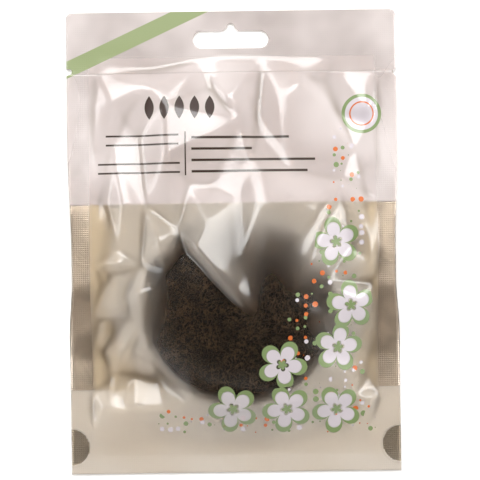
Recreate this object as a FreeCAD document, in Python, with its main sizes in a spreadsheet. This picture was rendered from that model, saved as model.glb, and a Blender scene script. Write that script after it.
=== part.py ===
import FreeCAD, Part
import math
import os

import Sketcher
from FreeCAD import Placement, Rotation, Vector

# A half-ball konjac sponge in its flat, heat-sealed stand-up pouch, lying on its back.
# Frame: +X to the pouch's right, +Y to its top, +Z out of its front film.
# The origin is under the middle of the pouch, on the surface that it lies on.

doc = FreeCAD.newDocument("konjac_sponge_pouch")

# Driving sizes in millimetres: pouch outline and film
pouch_width = 140.0
pouch_height = 196.0
waist_draw_in = 1.8
top_corner_radius = 2.5
film_gauge = 0.15
layer_gap = 0.1

# Seals
side_seal_width = 9.5
bottom_seal_width = 7.5
seal_lift = 9.0

# Broad folds of the loose front film
fold_height = 6.0
fold_reach = 16.0
fold_fade = 9.0
fold_clearance = 2.0

# Folded bottom gusset and its round spot seals
gusset_depth = 35.6
spot_seal_radius = 8.0
spot_seal_height = 11.4

# Tear-off header
header_depth = 26.0
tear_gap = 0.1
round_notch_depth = 2.3
round_notch_opening = 2.5
round_notch_below_top = 25.0
vee_notch_depth = 1.8
vee_notch_opening = 3.8
vee_notch_below_top = 26.8

# Hang slot
slot_length = 32.0
slot_opening = 7.3
slot_below_top = 15.8
slot_bell_base = 6.5
slot_bell_height = 3.2
slot_bell_crown = 1.5

# Sponge
sponge_diameter = 85.0
sponge_thickness = 24.0
sponge_rim_radius = 7.0
sponge_offset = 2.0
sponge_above_bottom = 28.0
sponge_base_gap = 0.3
film_clearance = 0.6

# Cuts
cut_overrun = 1.0

# Every size above goes into the sheet under its own name
sizes = {name: value for name, value in dict(vars()).items() if isinstance(value, float)}
sheet = doc.addObject("Spreadsheet::Sheet", "Sizes")
for row, (alias, value) in enumerate(sizes.items(), start=1):
    sheet.set(f"A{row}", alias)
    sheet.set(f"B{row}", str(value))
    sheet.setAlias(f"B{row}", alias)
doc.recompute()


def named(text):
    # An expression on the sheet's names, written with the names alone
    for alias in sorted(sizes, key=len, reverse=True):
        text = text.replace("$" + alias, "Sizes." + alias)
    return text


def amount(text):
    return float(sheet.evalExpression(named(text)))


# Heights of the film layers where they lie flat
header_front_floor = "($film_gauge + $layer_gap)"
gusset_floor = "($film_gauge + $layer_gap)"
gusset_top = f"({gusset_floor} + 2 * $film_gauge + $layer_gap)"
sponge_floor = f"({gusset_top} + $sponge_base_gap)"

# Places up the pouch
top_edge = "($pouch_height / 2)"
bottom_edge = "(-$pouch_height / 2)"
tear_line = f"({top_edge} - $header_depth)"
fold_line = f"({bottom_edge} + $gusset_depth)"
sponge_middle = f"({bottom_edge} + $sponge_above_bottom + $sponge_diameter / 2)"


def originPlane(body, role):
    return next(item for item in body.Origin.OriginFeatures if item.Role == role)


def newSketch(body, name, role, height=None):
    sketch = body.newObject("Sketcher::SketchObject", name)
    sketch.AttachmentSupport = (originPlane(body, role), [""])
    sketch.MapMode = "FlatFace"
    if height:
        sketch.setExpression("AttachmentOffset.Base.z", named(height))
    return sketch


def pin(sketch, curve, end, across=None, up=None):
    # Holds one point of a curve at a named distance from the sketch's origin
    for kind, text in (("DistanceX", across), ("DistanceY", up)):
        if text is not None:
            rule = Sketcher.Constraint(kind, -1, 1, curve, end, amount(text))
            index = sketch.addConstraint(rule)
            sketch.setExpression(f"Constraints[{index}]", named(text))


def arcBetween(start, end, middle):
    first = math.atan2(start.y - middle.y, start.x - middle.x)
    last = math.atan2(end.y - middle.y, end.x - middle.x)
    if last <= first:
        last += 2 * math.pi
    circle = Part.Circle(middle, Vector(0, 0, 1), start.distanceToPoint(middle))
    return Part.ArcOfCircle(circle, first, last)


def drawProfile(sketch, corners):
    # Each corner is its place and, where a round stretch runs to the next corner,
    # the centre of that stretch. Corners run anticlockwise.
    places = [Vector(amount(corner[0]), amount(corner[1]), 0) for corner in corners]
    curves = []
    for index, (across, up, *middle) in enumerate(corners):
        start, end = places[index], places[(index + 1) % len(corners)]
        if middle:
            curve = arcBetween(start, end, Vector(*map(amount, middle), 0))
        else:
            curve = Part.LineSegment(start, end)
        curves.append(sketch.addGeometry(curve))
    for index, (across, up, *middle) in enumerate(corners):
        curve = curves[index]
        following = curves[(index + 1) % len(curves)]
        sketch.addConstraint(Sketcher.Constraint("Coincident", curve, 2, following, 1))
        pin(sketch, curve, 1, across, up)
        if middle:
            start, end = places[index], places[(index + 1) % len(corners)]
            if abs(start.x - end.x) < abs(start.y - end.y):
                pin(sketch, curve, 3, across=middle[0])
            else:
                pin(sketch, curve, 3, up=middle[1])


def newBody(name):
    body = doc.addObject("PartDesign::Body", name)
    body.Label = name
    return body


def pad(body, name, sketch, length, both_ways=False):
    feature = body.newObject("PartDesign::Pad", name)
    feature.Profile = sketch
    feature.setExpression("Length", named(length))
    feature.Midplane = both_ways
    return feature


def pocket(body, name, sketch):
    # Cuts both ways from the sketch, right through the film
    before = body.Shape.Volume
    feature = body.newObject("PartDesign::Pocket", name)
    feature.Profile = sketch
    feature.setExpression("Length", named("2 * $cut_overrun"))
    feature.Midplane = True
    doc.recompute()
    if not body.Shape.Volume < before:
        raise ValueError(f"{name} cuts nothing")
    return feature


# Sponge: a flat base, a rounded rim and a shallow dome, turned about its own axis
def makeSponge():
    body = newBody("sponge")
    rim = amount("$sponge_rim_radius")
    height = amount("$sponge_thickness")
    base = amount("$sponge_diameter / 2 - $sponge_rim_radius")
    dome_middle = ((height - rim) ** 2 - base**2 - rim**2) / (2 * (height - 2 * rim))
    reach = math.hypot(base, rim - dome_middle)
    meet = Vector(base + rim * base / reach, rim + rim * (rim - dome_middle) / reach, 0)
    crown = Vector(0, height, 0)
    foot = Vector(base, 0, 0)

    sketch = newSketch(body, "half_section", "XZ_Plane")
    floor = sketch.addGeometry(Part.LineSegment(Vector(0, 0, 0), foot))
    edge = sketch.addGeometry(arcBetween(foot, meet, Vector(base, rim, 0)))
    dome = sketch.addGeometry(arcBetween(meet, crown, Vector(0, dome_middle, 0)))
    axis = sketch.addGeometry(Part.LineSegment(crown, Vector(0, 0, 0)))
    for first, second in ((floor, edge), (dome, axis), (axis, floor)):
        sketch.addConstraint(Sketcher.Constraint("Coincident", first, 2, second, 1))
    sketch.addConstraint(Sketcher.Constraint("Tangent", edge, 2, dome, 1))
    pin(sketch, floor, 1, "0", "0")
    pin(sketch, floor, 2, "$sponge_diameter / 2 - $sponge_rim_radius", "0")
    pin(sketch, edge, 3, "$sponge_diameter / 2 - $sponge_rim_radius", "$sponge_rim_radius")
    pin(sketch, dome, 3, across="0")
    pin(sketch, axis, 1, "0", "$sponge_thickness")

    turned = body.newObject("PartDesign::Revolution", "half_ball")
    turned.Profile = sketch
    turned.ReferenceAxis = (sketch, ["V_Axis"])
    turned.Angle = 360
    body.setExpression("Placement.Base.x", named("$sponge_offset"))
    body.setExpression("Placement.Base.y", named(sponge_middle))
    body.setExpression("Placement.Base.z", named(sponge_floor))
    return body


# Bottom gusset: one film folded once, open towards the bottom edge, with a half-round
# hole at each side edge of both leaves, where the outer films are spot sealed
def makeGusset():
    body = newBody("bottom_gusset")
    half_fold = "($film_gauge + $layer_gap / 2)"
    crease = f"({fold_line} - {half_fold})"
    slit_floor = f"({gusset_floor} + $film_gauge)"
    slit_top = f"({slit_floor} + $layer_gap)"
    profile = [
        (bottom_edge, gusset_floor),
        (crease, gusset_floor, crease, f"{gusset_floor} + {half_fold}"),
        (crease, gusset_top),
        (bottom_edge, gusset_top),
        (bottom_edge, slit_top),
        (crease, slit_top),
        (crease, slit_floor),
        (bottom_edge, slit_floor),
    ]
    sketch = newSketch(body, "folded_film", "YZ_Plane")
    drawProfile(sketch, profile)
    pad(body, "film_width", sketch, "$pouch_width", both_ways=True)
    doc.recompute()

    holes = newSketch(body, "spot_seal_holes", "XY_Plane")
    height = f"{bottom_edge} + $spot_seal_height"
    for side in ("-$pouch_width / 2", "$pouch_width / 2"):
        middle = Vector(amount(side), amount(height), 0)
        radius = amount("$spot_seal_radius")
        hole = holes.addGeometry(Part.Circle(middle, Vector(0, 0, 1), radius))
        pin(holes, hole, 3, side, height)
        rule = Sketcher.Constraint("Radius", hole, radius)
        index = holes.addConstraint(rule)
        holes.setExpression(f"Constraints[{index}]", named("$spot_seal_radius"))
    pocket(body, "spot_seals", holes)
    return body


def slotProfile():
    # Euro slot: a long hole with round ends and a bell for a single hook above its middle
    floor = f"{top_edge} - $slot_below_top"
    roof = f"{floor} + $slot_opening"
    level = f"{floor} + $slot_opening / 2"
    end = "($slot_length - $slot_opening) / 2"
    shoulder = "$slot_bell_base / 2"
    crown_middle = f"{roof} + $slot_bell_height - $slot_bell_crown"
    return [
        (f"-({end})", floor),
        (end, floor, end, level),
        (end, roof),
        (shoulder, roof),
        ("$slot_bell_crown", crown_middle, "0", crown_middle),
        ("-$slot_bell_crown", crown_middle),
        (f"-({shoulder})", roof),
        (f"-({end})", roof, f"-({end})", level),
    ]


def roundNotchProfile():
    # A round-ended notch laid across the pouch's left edge
    level = f"{top_edge} - $round_notch_below_top"
    low = f"{level} - $round_notch_opening / 2"
    high = f"{level} + $round_notch_opening / 2"
    inner = "-$pouch_width / 2 + $round_notch_depth - $round_notch_opening / 2"
    outer = "-$pouch_width / 2 - $cut_overrun"
    return [
        (outer, low),
        (inner, low, inner, level),
        (inner, high),
        (outer, high),
    ]


def veeNotchProfile():
    # A pointed notch laid across the pouch's right edge
    level = f"{top_edge} - $vee_notch_below_top"
    spread = "($vee_notch_opening / 2 * (1 + $cut_overrun / $vee_notch_depth))"
    outer = "$pouch_width / 2 + $cut_overrun"
    return [
        ("$pouch_width / 2 - $vee_notch_depth", level),
        (outer, f"{level} - {spread}"),
        (outer, f"{level} + {spread}"),
    ]


# Header: the front and the back film above the tear line, sealed together, with the
# hang slot punched through both and the upper part of each tear notch
def makeHeaderFilm(name, floor):
    body = newBody(name)
    side = "($pouch_width / 2)"
    low = f"{tear_line} + $tear_gap"
    corner = f"{side} - $top_corner_radius"
    shoulder = f"{top_edge} - $top_corner_radius"
    outline = [
        (f"-{side}", low),
        (side, low),
        (side, shoulder, corner, shoulder),
        (corner, top_edge),
        (f"-({corner})", top_edge, f"-({corner})", shoulder),
        (f"-{side}", shoulder),
    ]
    sketch = newSketch(body, name + "_outline", "XY_Plane", floor)
    drawProfile(sketch, outline)
    pad(body, name + "_film", sketch, "$film_gauge")
    doc.recompute()
    cuts = (
        ("hang_slot", slotProfile()),
        ("round_notch", roundNotchProfile()),
        ("vee_notch", veeNotchProfile()),
    )
    for cut, profile in cuts:
        drawing = newSketch(body, f"{name}_{cut}_outline", "XY_Plane")
        drawProfile(drawing, profile)
        pocket(body, f"{name}_{cut}", drawing)
    return body


# Sizes that the two panels follow
panel_film = amount("$film_gauge")
panel_low = amount(bottom_edge)
panel_high = amount(tear_line)
half_width = amount("$pouch_width / 2")
seal_inner = amount("$pouch_width / 2 - $side_seal_width")
fold_place = amount(fold_line)
lift = amount("$seal_lift")
draw_in = amount("$waist_draw_in")
sponge_x = amount("$sponge_offset")
sponge_y = amount(sponge_middle)
rim_radius = amount("$sponge_rim_radius")
sponge_radius = amount("$sponge_diameter / 2")
flat_half = abs(sponge_x) + sponge_radius - rim_radius / 2
slab_edge_share = 0.62
slab_edge = flat_half * slab_edge_share

# Spans between the rows of poles of the panels' surfaces
middle_spans = 8
wing_spans = 6
length_spans = 26
row_pitch = (panel_high - panel_low) / length_spans
lift_start = fold_place + 2 * row_pitch
lift_full = sponge_y + sponge_radius / 4
lift_ease = sponge_y + sponge_radius / 2
seam_fade = fold_place + sponge_radius / 2


def spread(start, end, spans):
    return [start + (end - start) * step / spans for step in range(spans + 1)]


def ease(value, start, end):
    share = min(max((value - start) / (end - start), 0.0), 1.0)
    return share * share * (3 - 2 * share)


def sealHeight(y):
    # How far the side seals stand off the table at this height up the pouch
    return lift * ease(y, lift_start, lift_full) * (1 - ease(y, lift_ease, panel_high))


def drawIn(y):
    return draw_in * (sealHeight(y) / lift) ** 2


def backHeight(x, y):
    # The back film lies flat under the sponge and turns up to the side seals
    return sealHeight(y) * ease(abs(x), flat_half, seal_inner)


def layersHeight(y):
    # What lies between the panels where they meet: the gusset's two leaves or a bare gap
    thin = amount(header_front_floor)
    thick = amount(gusset_top) + amount("$layer_gap")
    return thin + (thick - thin) * (1 - ease(y, lift_start, seam_fade))


# The free part of the front film is bounded by a rounded line from the seals
bound_power = 2.6
left_reach = seal_inner - draw_in + sponge_x
right_reach = seal_inner - draw_in - sponge_x
top_reach = panel_high - sponge_y
bottom_reach = sponge_y - panel_low - amount("$spot_seal_height")


def boundary(x, y):
    # Distance from the sponge's axis to the boundary in the direction of this point
    across = abs(x) / (right_reach if x > 0 else left_reach)
    along = abs(y) / (top_reach if y > 0 else bottom_reach)
    return math.hypot(x, y) / (across**bound_power + along**bound_power) ** (1 / bound_power)


def domeCircle():
    # Centre height and radius of the sponge's dome, grown by the film's clearance
    height = amount("$sponge_thickness")
    base = sponge_radius - rim_radius
    middle = ((height - rim_radius) ** 2 - base**2 - rim_radius**2) / (2 * (height - 2 * rim_radius))
    floor = amount(sponge_floor)
    return floor + middle, height - middle + amount("$film_clearance")


dome_middle, dome_radius = domeCircle()

# Each broad fold's crest or hollow: where it starts and ends, as shares of half the
# pouch's width and height, its height as a share of fold_height and how far it reaches
# to both sides as a share of fold_reach
crest_shares = (
    (-0.40, 0.72, -0.38, 0.36, 1.00, 1.00),
    (-0.36, 0.36, -0.38, 0.22, 0.35, 0.90),
    (-0.70, 0.62, -0.70, 0.26, 0.55, 0.80),
    (-0.08, 0.72, -0.15, 0.42, 0.75, 0.90),
    (0.08, 0.72, 0.06, 0.40, 0.35, 0.80),
    (0.40, 0.72, 0.42, 0.24, 0.65, 0.90),
    (0.64, 0.48, 0.66, 0.30, 0.60, 0.80),
    (0.60, 0.16, 0.46, 0.02, 0.75, 0.80),
    (0.82, 0.16, 0.82, -0.22, 0.35, 0.50),
    (0.06, 0.24, 0.32, 0.18, 0.45, 0.90),
    (0.18, 0.10, 0.20, -0.02, 0.35, 0.80),
    (-0.60, -0.04, -0.58, -0.12, -0.60, 0.70),
    (-0.40, 0.10, -0.34, -0.06, 0.40, 0.90),
    (-0.12, 0.00, -0.06, -0.16, 0.40, 0.80),
    (-0.70, -0.26, -0.68, -0.44, 0.25, 0.60),
    (-0.68, -0.74, -0.52, -0.76, 0.55, 0.60),
    (0.60, -0.16, 0.60, -0.26, 0.30, 0.80),
    (0.74, -0.56, 0.64, -0.72, 0.35, 0.70),
    (-0.20, -0.80, 0.22, -0.80, -0.25, 0.50),
)
crest_height = amount("$fold_height")
crest_reach = amount("$fold_reach")
crest_fade = amount("$fold_fade")
crest_gap = amount("$fold_clearance")
half_height = amount("$pouch_height / 2")
sponge_low = amount(sponge_floor)


def foldHeight(x, y):
    total = 0.0
    for start_x, start_y, end_x, end_y, height, reach in crest_shares:
        start = Vector(start_x * half_width, start_y * half_height, 0)
        run = Vector(end_x * half_width, end_y * half_height, 0) - start
        step = Vector(x, y, 0) - start
        share = min(max(step.dot(run) / run.dot(run), 0.0), 1.0)
        off = (step - run * share).Length / (crest_reach * reach)
        total += height * crest_height * max(1 - off**2, 0.0) ** 2
    free = ease(seal_inner - abs(x), 0, crest_fade) * ease(panel_high - y, 0, crest_fade)
    return total * free * ease(y - sponge_y + bottom_reach, 0, crest_fade)


def spongeTop(away, gap):
    # Height of the sponge grown by a gap, at a distance from its axis
    base = sponge_radius - rim_radius
    crown = dome_radius - amount("$film_clearance") + gap
    rim_middle = sponge_low + rim_radius
    meet = base * (1 + (rim_radius + gap) / math.hypot(base, rim_middle - dome_middle))
    if away < meet:
        return dome_middle + math.sqrt(crown**2 - away**2)
    past = min(away - base, rim_radius + gap)
    return rim_middle + math.sqrt((rim_radius + gap) ** 2 - past**2)


def frontHeight(x, y):
    # Broad folds on the taut film, and hollows stop above the sponge and the seals
    taut = tautHeight(x, y)
    fold = foldHeight(x, y)
    seat = backHeight(x, y) + layersHeight(y)
    away = math.hypot(x - sponge_x, y - sponge_y)
    if fold < 0 and away < sponge_radius + crest_gap:
        seat = min(taut, spongeTop(away, crest_gap))
    return max(taut + fold, seat)


def tautHeight(x, y):
    # Taut film rests on the dome as far as a straight line to its boundary touches it,
    # and runs along that line beyond
    seat = backHeight(x, y) + layersHeight(y)
    away_x, away_y = x - sponge_x, y - sponge_y
    away = math.hypot(away_x, away_y)
    if away < rim_radius:
        return dome_middle + math.sqrt(dome_radius**2 - away**2)
    edge = boundary(away_x, away_y)
    if away >= edge:
        return seat
    edge_x = sponge_x + away_x / away * edge
    edge_y = sponge_y + away_y / away * edge
    edge_height = backHeight(edge_x, edge_y) + layersHeight(edge_y)
    far = math.hypot(edge, edge_height - dome_middle)
    turn = math.atan2(edge, edge_height - dome_middle) - math.acos(dome_radius / far)
    touch = dome_radius * math.sin(turn)
    if away <= touch:
        return dome_middle + math.sqrt(dome_radius**2 - away**2)
    touch_height = dome_middle + dome_radius * math.cos(turn)
    run = (away - touch) / (edge - touch)
    return max(seat, touch_height + (edge_height - touch_height) * run)


def filmSolid(across_knots, up_knots, height):
    # A film of even gauge over a smooth surface through a net of poles
    def poles(knots):
        padded = [knots[0]] * 3 + knots + [knots[-1]] * 3
        return [sum(padded[i + 1 : i + 4]) / 3 for i in range(len(knots) + 2)]

    def pole(across, up):
        pull = drawIn(up) * ease(abs(across), flat_half, half_width)
        x = across - math.copysign(pull, across)
        return Vector(x, up, height(x, up))

    net = [[pole(across, up) for up in poles(up_knots)] for across in poles(across_knots)]
    surface = Part.BSplineSurface()
    across_counts = [4] + [1] * (len(across_knots) - 2) + [4]
    up_counts = [4] + [1] * (len(up_knots) - 2) + [4]
    surface.buildFromPolesMultsKnots(
        net, across_counts, up_counts, across_knots, up_knots, False, False, 3, 3
    )
    return surface.toShape().extrude(Vector(0, 0, panel_film))


def cutter(profile):
    # The notch outline as a prism through every height of the panels
    edges = []
    places = [Vector(amount(corner[0]), amount(corner[1]), 0) for corner in profile]
    for index, (across, up, *middle) in enumerate(profile):
        start, end = places[index], places[(index + 1) % len(profile)]
        if middle:
            edges.append(arcBetween(start, end, Vector(*map(amount, middle), 0)).toShape())
        else:
            edges.append(Part.LineSegment(start, end).toShape())
    overrun = amount("$cut_overrun")
    face = Part.Face(Part.Wire(edges))
    face.translate(Vector(0, 0, -overrun))
    return face.extrude(Vector(0, 0, 2 * overrun + lift))


def makePanel(name, shape):
    for profile in (roundNotchProfile(), veeNotchProfile()):
        shape = shape.cut(cutter(profile))
    panel = doc.addObject("Part::Feature", name)
    panel.Label = name
    panel.Shape = shape.Solids[0] if len(shape.Solids) == 1 else shape
    panel.Placement = Placement(Vector(0, 0, 0), Rotation())
    return panel


up_places = spread(panel_low, panel_high, length_spans)
right_places = spread(slab_edge, half_width, wing_spans)
left_places = spread(-half_width, -slab_edge, wing_spans)
middle_places = spread(-slab_edge, slab_edge, middle_spans)


# Front panel: one film from seal to seal, over the sponge and down to the tear line
def makeFrontPanel():
    across_places = left_places[:-1] + middle_places + right_places[1:]
    return makePanel("front_panel", filmSolid(across_places, up_places, frontHeight))


# Back panel: a flat middle that the pouch lies on, with a turned-up film at each side
def makeBackPanel():
    corner = Vector(-slab_edge, panel_low, 0)
    middle = Part.makeBox(2 * slab_edge, panel_high - panel_low, panel_film, corner)
    left = filmSolid(left_places, up_places, backHeight)
    right = filmSolid(right_places, up_places, backHeight)
    return makePanel("back_panel", middle.multiFuse([left, right]))


pieces = [
    makeSponge(),
    makeGusset(),
    makeHeaderFilm("header_front_film", header_front_floor),
    makeHeaderFilm("header_back_film", "0"),
    makeFrontPanel(),
    makeBackPanel(),
]
doc.recompute()

for item in doc.Objects:
    if "Invalid" in item.State or "Error" in item.State:
        raise ValueError(f"{item.Label} failed: {item.State}")

os.makedirs("parts", exist_ok=True)
for piece in pieces:
    shape = piece.Shape
    if shape.isNull() or not shape.isValid() or not shape.Solids:
        raise ValueError(f"{piece.Label} has no valid solid")
    shape.exportStep(f"parts/{piece.Label}.step")
    box = shape.optimalBoundingBox()
    print(
        f"{piece.Label}: {len(shape.Solids)} solid, volume {shape.Volume:.1f} mm3, "
        f"x {box.XMin:.2f}..{box.XMax:.2f}, y {box.YMin:.2f}..{box.YMax:.2f}, "
        f"z {box.ZMin:.2f}..{box.ZMax:.2f}"
    )
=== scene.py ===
import math

import bmesh
import bpy
import numpy as np
from mathutils import Matrix, Vector, noise
from mathutils.geometry import delaunay_2d_cdt


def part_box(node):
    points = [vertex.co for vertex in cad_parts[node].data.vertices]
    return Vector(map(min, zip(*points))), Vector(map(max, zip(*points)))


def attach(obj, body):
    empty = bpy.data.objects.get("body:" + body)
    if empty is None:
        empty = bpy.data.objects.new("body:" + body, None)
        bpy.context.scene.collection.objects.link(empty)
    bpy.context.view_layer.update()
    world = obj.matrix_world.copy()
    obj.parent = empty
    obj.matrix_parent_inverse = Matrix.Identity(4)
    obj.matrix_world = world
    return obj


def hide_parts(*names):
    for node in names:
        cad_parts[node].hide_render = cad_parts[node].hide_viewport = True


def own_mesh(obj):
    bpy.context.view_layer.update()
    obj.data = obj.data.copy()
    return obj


# Half-ball konjac sponge in a flat, heat-sealed stand-up pouch of hazy film
# Lengths are in millimetres and are turned to metres where a mesh is made
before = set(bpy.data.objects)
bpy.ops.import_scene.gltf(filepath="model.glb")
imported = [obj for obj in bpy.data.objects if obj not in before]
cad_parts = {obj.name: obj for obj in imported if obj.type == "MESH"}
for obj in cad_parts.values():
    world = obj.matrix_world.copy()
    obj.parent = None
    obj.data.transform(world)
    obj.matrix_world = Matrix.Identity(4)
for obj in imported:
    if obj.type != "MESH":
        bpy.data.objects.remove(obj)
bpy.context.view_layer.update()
mm = 0.001

# Outline, seals and layers, up from the middle of the pouch
pouch = {
    "halfWidth": 70.0,
    "bottom": -98.0,
    "tear": 72.0,
    "top": 98.0,
    "waistDrawIn": 1.8,
    "sealInner": 60.5,  # inner edge of the side seals
    "flatHalf": 41.0,  # the back film lies flat as far as this
    "liftFrom": (-50.0, -16.9),  # the side seals rise over this length
    "liftTo": -6.25,  # and sink from here to the tear line
    "headerSeal": 78.5,  # lower edge of the header's seal
    "bottomSeal": -90.5,  # upper edge of the bottom seal
    "fold": -62.4,  # upper edge of the folded gusset
    "gauge": 0.15,
    "layer": 0.25,  # gauge and gap under a film that lies on one other
    "gussetLayers": 0.5,  # more where the gusset lies between
    "gussetStep": (-53.9, -41.15),  # and where that step is spread
    "sealLift": 9.0,
    "spotSeal": (70.0, -86.6),
    "spotRadius": 8.0,
}

# The sponge's place and form
ball = {
    "x": 2.0,
    "y": -27.5,
    "floor": 0.95,
    "thickness": 24.0,
    "radius": 42.5,
    "rimRadius": 7.0,
    "domeRadius": 75.0,
    "filmGap": 0.45,  # least gap to the front film
    "outside": -5.0,  # a height below everything, where there is no sponge
}

photo = {"pxPerMm": 2.35, "middle": (233.5, 241.5), "turn": math.radians(0.8)}


def fromPhoto(across, down):
    # A place in the 480 px picture as millimetres on the pouch
    x = (across - photo["middle"][0]) / photo["pxPerMm"]
    y = (photo["middle"][1] - down) / photo["pxPerMm"]
    c, s = math.cos(photo["turn"]), math.sin(photo["turn"])
    return x * c + y * s, y * c - x * s


def ease(value, start, end):
    share = np.clip((value - start) / (end - start), 0.0, 1.0)
    return share * share * (3 - 2 * share)


def sealHeight(y):
    rise = ease(y, *pouch["liftFrom"])
    return pouch["sealLift"] * rise * (1 - ease(y, pouch["liftTo"], pouch["tear"]))


def drawIn(y):
    return pouch["waistDrawIn"] * (sealHeight(y) / pouch["sealLift"]) ** 2


def backHeight(x, y):
    return sealHeight(y) * ease(np.abs(x), pouch["flatHalf"], pouch["sealInner"])


def layersHeight(y):
    return pouch["layer"] + pouch["gussetLayers"] * (1 - ease(y, *pouch["gussetStep"]))


# The sponge's dome and rim, which the front film may not touch
domeRadius = ball["domeRadius"]
domeMiddle = ball["floor"] + ball["thickness"] - domeRadius
rimBase = ball["radius"] - ball["rimRadius"]
rimMiddle = ball["floor"] + ball["rimRadius"]
rimMeet = rimBase * domeRadius / (domeRadius - ball["rimRadius"])


def ballTop(x, y):
    away = np.hypot(x - ball["x"], y - ball["y"])
    dome = domeMiddle + np.sqrt(np.maximum(domeRadius**2 - away**2, 0))
    past = np.clip(away - rimBase, 0, ball["rimRadius"])
    rim = rimMiddle + np.sqrt(ball["rimRadius"] ** 2 - past**2)
    top = np.where(away < rimMeet, dome, rim)
    return np.where(away < ball["radius"], top, ball["outside"])


# The film stands like a tent on the dome: round a rounded boundary it meets the seals
tent = {
    "power": 2.6, "left": 60.7, "right": 56.7, "top": 106.0, "bottom": 58.0,
    "least": 0.001,  # keeps clear of dividing by zero
}


def tentHeight(x, y):
    seat = backHeight(x, y) + layersHeight(y)
    dx, dy = x - ball["x"], y - ball["y"]
    dx = np.where(np.abs(dx) < tent["least"], tent["least"], dx)
    away = np.hypot(dx, dy)
    across = np.abs(dx) / np.where(dx > 0, tent["right"], tent["left"])
    along = np.abs(dy) / np.where(dy > 0, tent["top"], tent["bottom"])
    edge = away / (across ** tent["power"] + along ** tent["power"]) ** (1 / tent["power"])
    edgeX, edgeY = ball["x"] + dx / away * edge, ball["y"] + dy / away * edge
    edgeHeight = backHeight(edgeX, edgeY) + layersHeight(edgeY)
    radius = domeRadius + ball["filmGap"]
    far = np.hypot(edge, edgeHeight - domeMiddle)
    turn = np.arctan2(edge, edgeHeight - domeMiddle) - np.arccos(radius / far)
    touch = radius * np.sin(turn)
    touchHeight = domeMiddle + radius * np.cos(turn)
    cap = domeMiddle + np.sqrt(np.maximum(radius**2 - away**2, 0))
    run = np.clip((away - touch) / (edge - touch), 0, 1)
    line = touchHeight + (edgeHeight - touchHeight) * run
    return np.maximum(np.where(away < touch, cap, line), seat)


# Loose film settles on the sponge's lower rim
settled = {"depth": 0.5, "toward": (-0.2, -0.98), "ring": 40.0, "spread": 10.0, "least": 0.01}


def sag(x, y):
    dx, dy = x - ball["x"], y - ball["y"]
    away = np.maximum(np.hypot(dx, dy), settled["least"])
    sideways, downwards = settled["toward"]
    toward = np.clip((sideways * dx + downwards * dy) / away, 0, 1)
    fromRing = (away - settled["ring"]) / settled["spread"]
    return settled["depth"] * toward * np.exp(-(fromRing**2))


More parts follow.
